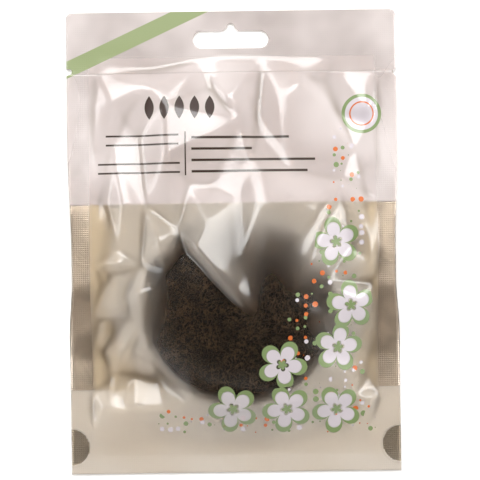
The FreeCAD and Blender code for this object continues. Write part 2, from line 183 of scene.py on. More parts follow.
# Creases from the photograph: each point is across, down and millimetres above the tent. Lines join
# the points that a fold runs through.
folds = {
    "lensLeft": (108, 73, 0.9), "lensMid": (150, 87, 5.4), "lensRight": (202, 62, 0.3),
    "underLens": (150, 70, -0.2), "leftTop": (97, 74, 0.0), "leftBand": (112, 103, 5.0),
    "leftHigh": (98, 106, 1.8),
    "leftBandLow": (116, 160, 4.0), "pinchOne": (143, 265, -3.6),
    "humpTop": (165, 104, 5.6), "humpMid": (168, 155, 6.6), "humpLow": (174, 198, 3.6),
    "hollowMid": (140, 140, 1.0), "hollowLow": (147, 205, 0.4), "pinchTwo": (179, 230, 0.6),
    "greyTop": (212, 62, 0.3), "greyFloor": (213, 88, -0.8), "greyEdge": (226, 100, 4.2),
    "greyFoot": (240, 121, 2.8), "veeApex": (257, 118, -2.4), "veeRight": (262, 60, 0.6),
    "veeMid": (241, 84, 3.0), "secondTop": (301, 74, 2.6), "secondMid": (280, 96, 3.2),
    "brightA": (301, 84, 3.8), "brightB": (326, 82, -0.4), "brightC": (324, 107, 2.6),
    "rightTop": (341, 69, 0.6), "rightMid": (338, 112, 0.6), "rightEdge": (374, 74, 0.2),
    "rightHigh": (367, 108, 4.8), "rightUnder": (368, 122, 1.6),
    "rightBelly": (352, 152, 4.2), "rightLow": (340, 181, 2.6), "rightSide": (372, 165, 0.6),
    "centreFlat": (250, 165, 1.6), "centreLow": (290, 172, 1.8),
    "uLeft": (190, 184, 0.6), "uPeak": (212, 186, -1.2), "uRight": (238, 198, 0.4),
    "uFoot": (208, 222, 3.2), "ridgeA": (196, 249, 5.0), "ridgeB": (217, 271, 5.0),
    "ridgeC": (237, 293, 4.0), "veilTip": (252, 312, 0.6), "veilRight": (242, 256, 2.4),
    "besideA": (190, 255, -1.6), "besideB": (211, 278, -0.4), "besideC": (232, 300, -0.2),
    "shadeA": (262, 205, 4.6), "shadeB": (302, 203, 5.2), "shadeC": (266, 246, 1.3),
    "shadeD": (290, 243, 1.6), "shadeE": (268, 290, 0.0), "leftVeilA": (160, 240, 4.4),
    "leftVeilB": (170, 272, -0.4), "leftVeilC": (154, 288, 0.6), "flankA": (143, 322, 1.9),
    "flankB": (148, 348, 1.3), "flankC": (164, 318, 0.7), "flankD": (167, 350, 0.6),
    "rimLeft": (190, 402, 2.6), "rimMid": (238, 407, 3.2), "rimRight": (288, 399, 2.6),
    "creaseTop": (338, 186, 3.6), "creaseMid": (328, 213, 5.6), "creaseLow": (308, 256, 3.8),
    "creaseFootA": (316, 216, 3.6), "creaseFootB": (299, 251, 2.2),
    "creaseTip": (287, 297, 0.5), "creaseOut": (345, 232, 1.0),
    "creaseOutLow": (327, 278, 0.8),
    "apex": (377, 200, -0.6), "facetA": (364, 226, 3.6), "facetB": (350, 247, -1.2),
    "facetC": (371, 262, 4.0), "facetD": (374, 281, -1.2), "facetE": (358, 300, 3.6),
    "facetF": (373, 331, 1.0), "facetG": (362, 362, 0.8), "facetH": (374, 395, 3.4),
    "facetI": (352, 392, 5.6),
    "bandLeft": (109, 206, 0.0), "bandMid": (125, 205, 4.4), "oliveUp": (99, 224, 0.9),
    "oliveFold": (97, 246, 0.5), "oliveRim": (120, 250, -1.0), "leftNotch": (96, 267, 0.3),
    "notchMid": (120, 265, 2.4), "creaseA": (121, 271, -1.6), "creaseB": (103, 285, -1.8),
    "creaseC": (96, 303, -0.2), "facetL": (116, 300, 0.6), "ridgeLeft": (98, 314, 0.8),
    "ridgeRight": (126, 310, 2.0), "valleyLeft": (100, 319, -0.8), "facetLow": (112, 317, -0.8),
    "petalMid": (138, 292, 2.8), "petalLeft": (129, 295, -1.4), "petalFoot": (129, 317, -1.0),
    "beltMid": (107, 329, 2.0), "beltFoot": (97, 352, 0.6), "crossA": (113, 338, -2.0),
    "crossLow": (101, 353, -1.8), "crossB": (95, 370, -0.2),
    "bellyLow": (124, 348, 2.2),
    "leftHollow": (134, 350, -1.2), "brightTop": (158, 366, -3.4),
    "brightLeft": (98, 372, 0.2), "brightQuarter": (116, 372, -1.1),
    "brightMid": (136, 374, -4.2), "brightRight": (160, 378, -7.2),
    "brightFootA": (102, 406, 4.6), "brightFootQuarter": (118, 410, 7.0),
    "brightFootB": (136, 411, 6.8), "brightFootC": (166, 409, 3.0),
    "lowMid": (240, 424, 0.6), "lowRight": (318, 420, 1.6),
}
# Where the film lies on the sponge
contact = (
    (196, 300), (186, 330), (190, 360), (208, 380), (215, 330), (235, 345), (222, 366),
    (262, 345), (270, 318), (292, 325), (300, 346), (255, 368), (282, 368), (245, 386),
)
foldLines = (
    ("lensLeft", "lensMid", "lensRight"), ("lensLeft", "underLens", "lensRight"),
    ("leftTop", "leftBand", "leftBandLow", "bandMid", "pinchOne"), ("leftHigh", "leftBand"),
    ("lensMid", "humpTop", "humpMid", "humpLow", "pinchTwo"),
    ("hollowMid", "hollowLow", "pinchOne"), ("hollowLow", "pinchTwo"),
    ("greyTop", "greyFloor", "greyFoot"), ("lensRight", "greyEdge", "greyFoot", "veeApex"),
    ("greyTop", "veeMid", "veeApex", "veeRight"), ("veeApex", "secondMid", "secondTop"),
    ("brightA", "brightB", "brightC", "brightA"), ("rightTop", "rightMid", "brightC"),
    ("rightTop", "rightEdge"), ("rightMid", "rightHigh"),
    ("rightBelly", "rightLow", "rightSide", "rightBelly"),
    ("uLeft", "uPeak", "uRight"), ("uLeft", "pinchTwo", "uFoot"), ("uRight", "uFoot"),
    ("pinchTwo", "ridgeA", "ridgeB", "ridgeC", "veilTip"),
    ("besideA", "besideB", "besideC", "veilTip"), ("pinchOne", "leftVeilB", "besideA"),
    ("leftVeilA", "leftVeilB"),
    ("uRight", "veilRight", "veilTip"), ("shadeA", "shadeC", "shadeE"),
    ("shadeA", "shadeB", "creaseTop"), ("shadeB", "shadeD", "shadeE", "creaseTip"),
    ("creaseTop", "creaseMid", "creaseLow", "creaseTip"),
    ("creaseTop", "creaseOut", "creaseOutLow", "creaseTip"),
    ("creaseTop", "creaseFootA", "creaseFootB", "creaseTip"),
    ("apex", "facetA", "facetB"), ("apex", "facetC", "facetD", "facetE", "facetF"),
    ("facetB", "facetC"), ("rimLeft", "rimMid", "rimRight"),
    ("facetF", "facetG"), ("facetH", "facetI"),
    ("bandLeft", "oliveRim", "pinchOne"), ("oliveFold", "oliveRim"),
    ("leftNotch", "notchMid", "pinchOne"), ("pinchOne", "creaseA", "creaseB", "creaseC"),
    ("valleyLeft", "facetLow", "petalFoot"), ("pinchOne", "petalMid", "petalFoot"),
    ("pinchOne", "petalLeft", "petalFoot"), ("petalFoot", "crossA", "crossLow", "crossB"),
    ("ridgeLeft", "ridgeRight"), ("beltMid", "beltFoot"), ("leftHollow", "brightTop"),
    ("brightLeft", "brightQuarter", "brightMid", "brightRight"),
    ("brightFootA", "brightFootQuarter", "brightFootB", "brightFootC"),
)
# Round the folds the film is smooth: points along a frame just inside the seals
foldFrame = {
    "left": 94, "right": 376, "top": 57, "bottom": 446,
    "alongTop": (94, 377, 40), "alongRight": (57, 441, 48),
    "alongBottom": (364, 94, -45), "alongLeft": (440, 58, -48),
}
foldEdge = (
    [(x, foldFrame["top"], 0) for x in range(*foldFrame["alongTop"])]
    + [(foldFrame["right"], y, 0) for y in range(*foldFrame["alongRight"])]
    + [(x, foldFrame["bottom"], 0) for x in range(*foldFrame["alongBottom"])]
    + [(foldFrame["left"], y, 0) for y in range(*foldFrame["alongLeft"])]
)
raster = {
    "pitch": 0.5, "foldWidth": 0.85, "broad": 2.0, "crisp": 0.7, "hair": 1e-6, "weld": 1e-4,
    "crossing": 0.05, "skip": 4,
}


def softened(field, width):
    # Gaussian blur of a raster, width in millimetres
    reach = int(3 * width / raster["pitch"]) + 1
    steps = np.arange(-reach, reach + 1) * raster["pitch"] / width
    weights = np.exp(-0.5 * steps**2)
    weights /= weights.sum()
    for axis in (0, 1):
        ends = [(reach, reach) if axis == side else (0, 0) for side in (0, 1)]
        padded = np.pad(field, ends, mode="edge")
        field = np.apply_along_axis(np.convolve, axis, padded, weights, "valid")
    return field


def foldRaster(gridX, gridY):
    names = list(folds)
    flat = [(*fromPhoto(x, y), z) for x, y, z in [*folds.values(), *foldEdge]]
    flat += [(*fromPhoto(x, y), 0) for x, y in contact]
    edges = [
        (names.index(a), names.index(b)) for line in foldLines for a, b in zip(line, line[1:])
    ]
    spots = [Vector(point[:2]) for point in flat]
    corners, _, faces, origins, _, _ = delaunay_2d_cdt(spots, edges, [], 0, raster["weld"])

    def crossingHeight(spot):
        # Where two folds cross, the mean of both at that place
        found = []
        for a, b in edges:
            start, run = spots[a], spots[b] - spots[a]
            share = (spot - start).dot(run) / run.length_squared
            if 0 <= share <= 1 and (start + run * share - spot).length < raster["crossing"]:
                found.append(flat[a][2] + (flat[b][2] - flat[a][2]) * share)
        return np.mean(found)

    heights = [
        np.mean([flat[i][2] for i in origin]) if origin else crossingHeight(corner)
        for corner, origin in zip(corners, origins)
    ]
    field, hair = np.zeros_like(gridX), raster["hair"]
    for face in faces:
        (ax, ay), (bx, by), (cx, cy) = (corners[i] for i in face)
        area = (bx - ax) * (cy - ay) - (cx - ax) * (by - ay)
        if abs(area) < hair:
            continue
        shareB = ((gridX - ax) * (cy - ay) - (cx - ax) * (gridY - ay)) / area
        shareC = ((bx - ax) * (gridY - ay) - (gridX - ax) * (by - ay)) / area
        inside = (shareB >= -hair) & (shareC >= -hair) & (shareB + shareC <= 1 + hair)
        a, b, c = (heights[i] for i in face)
        field[inside] = (a + (b - a) * shareB + (c - a) * shareC)[inside]
    broad = softened(field, raster["broad"])
    return broad + raster["crisp"] * (field - broad)


def waves(gridX, gridY, size, seed):
    # Soft unevenness between -1 and 1 whose bumps are about this many millimetres wide
    spots = np.stack([gridX.ravel() / size, gridY.ravel() / size], axis=1)
    values = [noise.noise(Vector((x, y, seed))) for x, y in spots]
    return np.array(values).reshape(gridX.shape)


def sample(field, x, y):
    across = np.clip((x + pouch["halfWidth"]) / raster["pitch"], 0, field.shape[1] - 1.001)
    up = np.clip((y - pouch["bottom"]) / raster["pitch"], 0, field.shape[0] - 1.001)
    i, j = across.astype(int), up.astype(int)
    s, t = across - i, up - j
    low = field[j, i] * (1 - s) + field[j, i + 1] * s
    high = field[j + 1, i] * (1 - s) + field[j + 1, i + 1] * s
    return low * (1 - t) + high * t


columns = np.arange(-pouch["halfWidth"], pouch["halfWidth"] + 0.01, raster["pitch"])
rows = np.arange(pouch["bottom"], pouch["top"] + 0.01, raster["pitch"])
gridX, gridY = np.meshgrid(columns, rows)
skip = raster["skip"]
coarseX, coarseY = gridX[::skip, ::skip], gridY[::skip, ::skip]


def spreadOut(coarse):
    # From every fourth raster point back to all of them
    across = np.array([np.interp(columns, columns[::skip], row) for row in coarse])
    return np.array([np.interp(rows, rows[::skip], line) for line in across.T]).T


print("film: tent and folds")
# Waves of the loose film: how high and how wide they are and where they fade out, and how
# far the folds are smoothed near the bottom and everywhere at the end
loose = {
    "slow": 0.35, "slowSize": 22.0, "slowSeed": 3.1,
    "fast": 0.12, "fastSize": 9.0, "fastSeed": 7.7,
    "sealFade": 5.0, "footFade": (-90.0, -80.0), "headerFade": 74.0,
    "footSmooth": (-82.0, -66.0), "footWidth": 4.0, "lastWidth": 0.7,
}
slowWaves = spreadOut(waves(coarseX, coarseY, loose["slowSize"], loose["slowSeed"]))
fastWaves = spreadOut(waves(coarseX, coarseY, loose["fastSize"], loose["fastSeed"]))
fromSeal = pouch["sealInner"] - np.abs(gridX)
fromBall = np.hypot(gridX - ball["x"], gridY - ball["y"])
freePart = ease(fromSeal, 0.0, loose["sealFade"]) * ease(gridY, *loose["footFade"])
freePart = freePart * (1 - ease(gridY, loose["headerFade"], pouch["headerSeal"]))
seatField = backHeight(gridX, gridY) + layersHeight(gridY)
ballField = ballTop(gridX, gridY) + ball["filmGap"]
leastField = np.maximum(ballField, seatField)
frontField = tentHeight(gridX, gridY) + foldRaster(gridX, gridY)
frontField = frontField - sag(gridX, gridY)
frontField = frontField + freePart * (loose["slow"] * slowWaves + loose["fast"] * fastWaves)
frontField = softened(np.maximum(frontField, leastField), raster["foldWidth"])
nearFoot = 1 - ease(gridY, *loose["footSmooth"])
smoothFoot = softened(frontField, loose["footWidth"])
frontField = frontField + nearFoot * (smoothFoot - frontField)
frontField = softened(np.maximum(frontField, leastField), loose["lastWidth"])

# The back film lies flat, waves a little, and waves more beside the sponge
crumpled = {
    "wave": 0.11, "slow": 0.8, "fast": 0.25, "beyond": 52.0, "above": (-62.0, -52.0),
    "sealFade": 14.0, "under": 0.5, "belowSeat": 0.25,
}
backField = backHeight(gridX, gridY) + crumpled["wave"] * (1 + slowWaves) * freePart
beside = ease(fromBall, ball["radius"], crumpled["beyond"]) * ease(gridY, *crumpled["above"])
beside = beside * freePart * ease(fromSeal, 0.0, crumpled["sealFade"])
besideWaves = crumpled["slow"] * (1 + slowWaves) + crumpled["fast"] * (1 + fastWaves)
backField = backField + beside * besideWaves
backLimit = np.maximum(frontField - crumpled["under"], seatField - crumpled["belowSeat"])
backField = np.minimum(backField, backLimit)

# How deep it is under the front film: beside the sponge the film is hazy right up to its
# seals, so a least depth stands there
depth = {
    "width": 1.5, "least": 3.2, "beyond": (34.0, 43.0), "sealEdge": (-0.2, 0.5),
    "footEdge": (-90.5, -89.5), "headerEdge": 0.5, "foldEdge": 0.6, "spotEdge": (7.6, 8.4),
}
under = np.maximum(ballTop(gridX, gridY), backField)
gapField = softened(frontField - under, depth["width"])
unsealed = ease(fromSeal, *depth["sealEdge"]) * ease(gridY, *depth["footEdge"])
headerEdge = pouch["headerSeal"] - depth["headerEdge"]
unsealed = unsealed * (1 - ease(gridY, headerEdge, pouch["headerSeal"]))
spotX, spotY = pouch["spotSeal"]
fromSpot = np.hypot(np.abs(gridX) - spotX, gridY - spotY)
overGusset = 1 - ease(gridY, pouch["fold"] - depth["foldEdge"], pouch["fold"])
unsealed = np.maximum(unsealed, overGusset * ease(fromSpot, *depth["spotEdge"]))
leastDepth = depth["least"] * unsealed * ease(fromBall, *depth["beyond"])
gapField = np.maximum(gapField, leastDepth)
# Painted shade: where the film folds into a sharp valley its colour is later darkened, in place of
# the shade that falls there
valleyShade = {"width": 1.2, "from": 0.03, "reach": 0.2}
hollow = softened(frontField, valleyShade["width"]) - frontField
valleyShadeField = np.clip((hollow - valleyShade["from"]) / valleyShade["reach"], 0, 1)
headerCurl = {"height": 0.28, "rise": (74.0, 86.0)}
headerWave = headerCurl["height"] * (1 + slowWaves) * ease(gridY, *headerCurl["rise"])


def toObject(name, mesh, body):
    piece = bpy.data.objects.new(name, mesh)
    bpy.context.scene.collection.objects.link(piece)
    mesh.polygons.foreach_set("use_smooth", [True] * len(mesh.polygons))
    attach(piece, body)
    return piece


def gridMesh(name, low, high, pitch, place):
    # An even grid from edge to edge of the pouch, each point put in place by a function
    bm = bmesh.new()
    across = round(2 * pouch["halfWidth"] / pitch)
    up = round((high - low) / pitch)
    bmesh.ops.create_grid(bm, x_segments=across, y_segments=up, size=1.0)
    mesh = bpy.data.meshes.new(name)
    bm.to_mesh(mesh)
    bm.free()
    spots = np.empty(len(mesh.vertices) * 3)
    mesh.vertices.foreach_get("co", spots)
    spots = spots.reshape(-1, 3)
    x = spots[:, 0] * pouch["halfWidth"]
    y = low + (spots[:, 1] + 1) / 2 * (high - low)
    placed = np.stack(place(x, y), axis=1) * mm
    mesh.vertices.foreach_set("co", placed.ravel())
    mesh.update()
    return mesh


def giveThickness(piece, gauge):
    shell = piece.modifiers.new("film", "SOLIDIFY")
    shell.thickness = gauge * mm
    shell.offset = 1.0
    shell.use_even_offset = False
    return shell


def baked(piece):
    # Applies the piece's modifiers to its mesh
    depsgraph = bpy.context.evaluated_depsgraph_get()
    mesh = bpy.data.meshes.new_from_object(piece.evaluated_get(depsgraph))
    piece.modifiers.clear()
    piece.data = mesh
    return piece


# The tear notches: a round one at the left edge and a pointed one at the right edge
notches = {
    "roundAt": 73.0, "roundRadius": 1.25, "roundNeck": 1.05,
    "pointAt": 71.2, "pointDepth": 1.8, "pointHalf": 1.9, "pullFrom": 59.0,
}


def pulledIn(x, y):
    # Where the drawn-in sides and the notches put the film's edge
    radius, off = notches["roundRadius"], y - notches["roundAt"]
    roundLeft = np.sqrt(np.maximum(radius**2 - off**2, 0)) + notches["roundNeck"]
    roundLeft = np.where(np.abs(off) < radius, roundLeft, 0)
    slope = notches["pointDepth"] / notches["pointHalf"]
    pointRight = np.maximum(notches["pointDepth"] - np.abs(y - notches["pointAt"]) * slope, 0)
    pull = drawIn(y) + np.where(x < 0, roundLeft, pointRight)
    share = ease(np.abs(x), notches["pullFrom"], pouch["halfWidth"])
    return x - np.sign(x) * pull * share


frontFilm = {"pitch": 0.75}


def placeFront(x, y):
    return pulledIn(x, y), y, sample(frontField, x, y)


def noteFilm(mesh):
    # How deep the space under the film is, for its haze, and how sharply it is folded, for the
    # painted shade in its valleys
    spots = np.empty(len(mesh.vertices) * 3)
    mesh.vertices.foreach_get("co", spots)
    x, y = spots.reshape(-1, 3).T[:2] / mm
    for name, field in (("depthBelow", gapField), ("valleyShade", valleyShadeField)):
        note = mesh.attributes.new(name, "FLOAT", "POINT")
        note.data.foreach_set("value", sample(field, x, y))


frontPanel = toObject(
    "front_film_panel",
    gridMesh(
        "front_film_panel", pouch["bottom"], pouch["tear"], frontFilm["pitch"], placeFront
    ),
    "pouch",
)
noteFilm(frontPanel.data)
giveThickness(frontPanel, pouch["gauge"])
print("front film: done")

backFilm = {"pitch": 1.6}


def placeBack(x, y):
    return pulledIn(x, y), y, sample(backField, x, y)


backPanel = toObject(
    "back_film_panel",
    gridMesh("back_film_panel", pouch["bottom"], pouch["tear"], backFilm["pitch"], placeBack),
    "pouch",
)
giveThickness(backPanel, pouch["gauge"])
print("back film: done")


# Header films: gently waved sheets, cut to the outline, hang slot and notches of the part
headerFilm = {"pitch": 1.1, "overlap": 1.0, "stretch": 40.0, "below": 2.0}


def makeHeader(name, node, field):
    def placeHeader(x, y):
        return x, y, sample(field, x, y)

    low, high = pouch["tear"] - headerFilm["overlap"], pouch["top"] + headerFilm["overlap"]
    mesh = gridMesh(name, low, high, headerFilm["pitch"], placeHeader)
    piece = toObject(name, mesh, "tear_header")
    giveThickness(piece, pouch["gauge"])
    # The part's header film, made tall, cuts the outline
    bm = bmesh.new()
    bm.from_mesh(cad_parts[node].data)
    bmesh.ops.remove_doubles(bm, verts=bm.verts, dist=raster["hair"])
    bmesh.ops.translate(bm, verts=bm.verts, vec=(0, 0, -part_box(node)[0][2]))
    bmesh.ops.scale(bm, verts=bm.verts, vec=(1, 1, headerFilm["stretch"] * 2))
    bmesh.ops.translate(bm, verts=bm.verts, vec=(0, 0, -headerFilm["below"] * mm))
    outline = bpy.data.meshes.new(name + "_outline")
    bm.to_mesh(outline)
    bm.free()
    cutter = bpy.data.objects.new(name + "_outline", outline)
    bpy.context.scene.collection.objects.link(cutter)
    cut = piece.modifiers.new("outline", "BOOLEAN")
    cut.operation, cut.object, cut.solver = "INTERSECT", cutter, "EXACT"
    baked(piece)
    bpy.data.objects.remove(cutter)
    noteFilm(piece.data)
    return piece


headerFront = makeHeader("header_front", "header_front_film", frontField + headerWave)
headerBack = makeHeader("header_back", "header_back_film", backField + headerWave)
print("header films: done")


# Gusset: one film laid in two leaves with a fold at the top
gusset = {
    "pitch": 1.2, "lowLeaf": 0.25, "highLeaf": 0.5, "foldShort": 0.2, "bend": 0.6, "bulge": 0.12,
}


def placeGusset(x, y):
    run = y - pouch["bottom"]
    leaf = pouch["fold"] - pouch["bottom"] - gusset["foldShort"]
    bend = np.clip((run - leaf) / gusset["bend"], 0, 1) * math.pi
    up = np.where(run < leaf, run, np.maximum(2 * leaf + gusset["bend"] - run, 0))
    up = np.where((bend > 0) & (bend < math.pi), leaf, up) + gusset["bulge"] * np.sin(bend)
    rise = gusset["highLeaf"] - gusset["lowLeaf"]
    return x, pouch["bottom"] + up, gusset["lowLeaf"] + rise * (1 - np.cos(bend)) / 2


gussetEnd = pouch["bottom"] + 2 * (pouch["fold"] - pouch["bottom"]) + gusset["foldShort"]
gussetPiece = toObject(
    "gusset_film",
    gridMesh("gusset_film", pouch["bottom"], gussetEnd, gusset["pitch"], placeGusset),
    "pouch",
)
giveThickness(gussetPiece, pouch["gauge"]).offset = 0.0
punch = bmesh.new()
for side in (-1, 1):
    radius = pouch["spotRadius"] * mm
    spot = Matrix.Translation(Vector((side * spotX, spotY, 0)) * mm)
    bmesh.ops.create_cone(
        punch, cap_ends=True, segments=48, radius1=radius, radius2=radius, depth=radius,
        matrix=spot,
    )
punchMesh = bpy.data.meshes.new("spot_punch")
punch.to_mesh(punchMesh)
punch.free()
puncher = bpy.data.objects.new("spot_punch", punchMesh)
bpy.context.scene.collection.objects.link(puncher)
holes = gussetPiece.modifiers.new("holes", "BOOLEAN")
holes.operation, holes.object, holes.solver = "DIFFERENCE", puncher, "EXACT"
baked(gussetPiece)
bpy.data.objects.remove(puncher)
print("gusset: done")


# Sponge: konjac foam, a rounded half ball with an open, fibrous skin
foam = {
    "divisions": 6, "coarse": 0.35, "coarseSize": 5.0, "fine": 0.28, "fineSize": 1.5,
    "fineSeed": (9, 4, 2), "domeSteps": 60, "rimSteps": 40,
}


def foamProfile():
    # From the crown over the rim to the middle of the base, as radius and height
    crownTurn = math.asin(rimMeet / domeRadius)
    dome = [
        (domeRadius * math.sin(a), domeMiddle + domeRadius * math.cos(a))
        for a in np.linspace(0, crownTurn, foam["domeSteps"])
    ]
    rim = [
        (rimBase + ball["rimRadius"] * math.sin(a), rimMiddle + ball["rimRadius"] * math.cos(a))
        for a in np.linspace(crownTurn, math.pi, foam["rimSteps"])[1:]
    ]
    return np.array(dome + rim + [(0.0, ball["floor"])])


def makeSponge():
    profile = foamProfile()
    lengths = np.hypot(*np.diff(profile, axis=0).T)
    travelled = np.concatenate([[0], np.cumsum(lengths)])
    bm = bmesh.new()
    bmesh.ops.create_icosphere(bm, subdivisions=foam["divisions"], radius=1.0)
    for vert in bm.verts:
        polar = math.acos(max(-1.0, min(1.0, vert.co.z)))
        around = math.atan2(vert.co.y, vert.co.x)
        place = polar / math.pi * travelled[-1]
        radius = np.interp(place, travelled, profile[:, 0])
        height = np.interp(place, travelled, profile[:, 1])
        vert.co = Vector((radius * math.cos(around), radius * math.sin(around), height))
    bm.normal_update()
    shifts = []
    for vert in bm.verts:
        coarse = noise.noise(vert.co / foam["coarseSize"])
        spot = vert.co / foam["fineSize"] + Vector(foam["fineSeed"])
        fine = 1 - 2 * abs(noise.noise(spot))
        shifts.append(-foam["coarse"] * abs(coarse) - foam["fine"] * max(fine, 0))
    middle = Vector((ball["x"], ball["y"], 0))
    for vert, shift in zip(bm.verts, shifts):
        vert.co = vert.co + vert.normal * shift
        vert.co.z = max(vert.co.z, ball["floor"])
        vert.co = (vert.co + middle) * mm
    mesh = bpy.data.meshes.new("konjac_sponge")
    bm.to_mesh(mesh)
    bm.free()
    return toObject("konjac_sponge", mesh, "sponge")


spongePiece = makeSponge()
print("sponge: done")


def linear(hexColour):
    # sRGB hex to the linear colour that the shaders take
    parts = [int(hexColour[i : i + 2], 16) / 255 for i in (1, 3, 5)]
    return tuple(p / 12.92 if p < 0.04045 else ((p + 0.055) / 1.055) ** 2.4 for p in parts) + (1.0,)


def addNode(tree, kind, settings=None, links=None):
    node = tree.nodes.new("ShaderNode" + kind)
    for key, value in (settings or {}).items():
        setattr(node, key, value)
    for socket, source in (links or {}).items():
        if isinstance(source, bpy.types.Node):
            source = source.outputs[0]
        if isinstance(source, bpy.types.NodeSocket):
            tree.links.new(source, node.inputs[socket])
        else:
            node.inputs[socket].default_value = source
    return node


# Settings that many nodes share
times = {"operation": "MULTIPLY"}
plus = {"operation": "ADD"}
minus = {"operation": "SUBTRACT"}
shareOf = {"operation": "DIVIDE"}
timesPlus = {"operation": "MULTIPLY_ADD"}
larger = {"operation": "MAXIMUM"}
lessThan = {"operation": "LESS_THAN"}
unsigned = {"operation": "ABSOLUTE"}
distance = {"operation": "DISTANCE"}
smooth = {"interpolation_type": "SMOOTHSTEP"}
flatCells = {"voronoi_dimensions": "2D"}
flatNoise = {"noise_dimensions": "2D"}
colourMix = {"data_type": "RGBA"}


def newMaterial(name):
    material = bpy.data.materials.new(name)
    material.use_nodes = True
    tree = material.node_tree
    tree.nodes.clear()
    place = addNode(tree, "TexCoord").outputs["Object"]
    # Object coordinates in millimetres, so a noise's scale counts its cells per mm
    inMm = addNode(tree, "VectorMath", times, {0: place, 1: (1000, 1000, 1000)})
    return material, tree, inMm


def finishMaterial(tree, shader):
    addNode(tree, "OutputMaterial", links={"Surface": shader})


def within(tree, value, span, soft):
    # 1 between two values, fading over a soft edge at each
    low, high = span
    rise = addNode(tree, "MapRange", smooth,
                   {0: value, 1: low - soft, 2: low + soft, 3: 0.0, 4: 1.0})
    fall = addNode(tree, "MapRange", smooth,
                   {0: value, 1: high - soft, 2: high + soft, 3: 1.0, 4: 0.0})
    return addNode(tree, "Math", times, {0: rise, 1: fall})


# Fine dots that a heated jaw presses into the side seals, the round spot seals, and a
# fainter print of the jaw on the header's seal and the bottom seal
sealPress = {
    "pitch": 0.9, "depth": 0.65, "dot": (0.15, 0.45),
    "side": (60.2, 90.0), "sideSoft": 0.5, "soft": 0.4,
    "header": (78.5, 94.0), "headerShare": 0.5, "foot": (-99.0, -90.5), "footShare": 0.35,
    "disc": (-5.0, 7.7), "discSoft": 0.25, "rim": (7.6, 8.5), "rimSoft": 0.2, "rimShare": 2.5,
}


def sealBump(tree, inMm, x, y):
    # Returns the pressed height, where the film is pressed and where it is spot sealed
    dots = addNode(tree, "TexVoronoi", flatCells,
                   {"Vector": inMm, "Scale": 1 / sealPress["pitch"], "Randomness": 0.0})
    inner, outer = sealPress["dot"]
    dots = addNode(tree, "MapRange",
                   links={0: dots, 1: inner, 2: outer, 3: sealPress["depth"], 4: 0.0})
    away = addNode(tree, "Math", unsigned, {0: x})
    side = within(tree, away, sealPress["side"], sealPress["sideSoft"])
    header = within(tree, y, sealPress["header"], sealPress["soft"])
    header = addNode(tree, "Math", times, {0: header, 1: sealPress["headerShare"]})
    foot = within(tree, y, sealPress["foot"], sealPress["soft"])
    foot = addNode(tree, "Math", times, {0: foot, 1: sealPress["footShare"]})
    fold = addNode(tree, "CombineXYZ", links={0: away, 1: y})
    spot = addNode(tree, "VectorMath", distance, {0: fold, 1: (*pouch["spotSeal"], 0)})
    disc = within(tree, spot.outputs["Value"], sealPress["disc"], sealPress["discSoft"])
    rim = within(tree, spot.outputs["Value"], sealPress["rim"], sealPress["rimSoft"])
    rim = addNode(tree, "Math", times, {0: rim, 1: sealPress["rimShare"]})
    pressed = addNode(tree, "Math", larger, {0: disc, 1: header})
    pressed = addNode(tree, "Math", larger, {0: side, 1: pressed})
    pressed = addNode(tree, "Math", larger, {0: pressed, 1: foot})
    height = addNode(tree, "Math", times, {0: dots, 1: pressed})
    height = addNode(tree, "Math", larger, {0: height, 1: rim})
    return height, pressed, disc


# Printing: a garland of blossoms and dots, a corner stripe, a ring, leaves and bars
printed = {
    "stripe": "#96A377", "ink": "#33201A", "petal": "#D3CCD3", "leaf": "#7F9462",
    "dot": "#CF6A2B", "soft": 0.12, "crisp": 0.1, "finest": 0.06,
}
garland = {
    "middle": 42.0, "swing": 6.0, "bends": 0.045, "start": 0.4, "bottom": -82.0,
    "wideAt": -88.0, "wide": 22.0, "narrowAt": 48.0, "narrow": 3.0, "armTop": -70.0,
}


def inGarland(tree, place, top, armEnd):
    # The garland's middle line swings down the right side and its width grows downwards,
    # and under the sponge an arm runs to the left as far as armEnd
    parts = addNode(tree, "SeparateXYZ", links={0: place})
    x, y = parts.outputs[0], parts.outputs[1]
    bend = addNode(tree, "Math", timesPlus, {0: y, 1: garland["bends"], 2: garland["start"]})
    swing = addNode(tree, "Math", {"operation": "SINE"}, {0: bend})
    middle = addNode(tree, "Math", timesPlus,
                     {0: swing, 1: garland["swing"], 2: garland["middle"]})
    off = addNode(tree, "Math", minus, {0: x, 1: middle})
    off = addNode(tree, "Math", unsigned, {0: off})
    width = addNode(tree, "MapRange", links={
        0: y, 1: garland["wideAt"], 2: garland["narrowAt"], 3: garland["wide"],
        4: garland["narrow"],
    })
    near = addNode(tree, "Math", lessThan, {0: off, 1: width})
    armAcross = within(tree, x, (armEnd, garland["middle"]), printed["crisp"])
    armUp = within(tree, y, (garland["bottom"], garland["armTop"]), printed["crisp"])
    arm = addNode(tree, "Math", times, {0: armAcross, 1: armUp})
    either = addNode(tree, "Math", larger, {0: near, 1: arm})
    up = within(tree, y, (garland["bottom"], top), printed["crisp"])
    return addNode(tree, "Math", times, {0: either, 1: up})


blossom = {
    "pitch": 24.0, "scatter": 0.3, "radius": 10.5, "petals": 5, "turn": 6.28, "shift": (6, 4, 0),
    "top": 4.0, "armEnd": -8.0, "roundness": 0.55, "swell": 0.62, "waist": 0.38,
    "fill": (0.26, 0.78), "border": (0.78, 1.0), "eye": (-1.0, 0.2), "soft": 0.03,
}


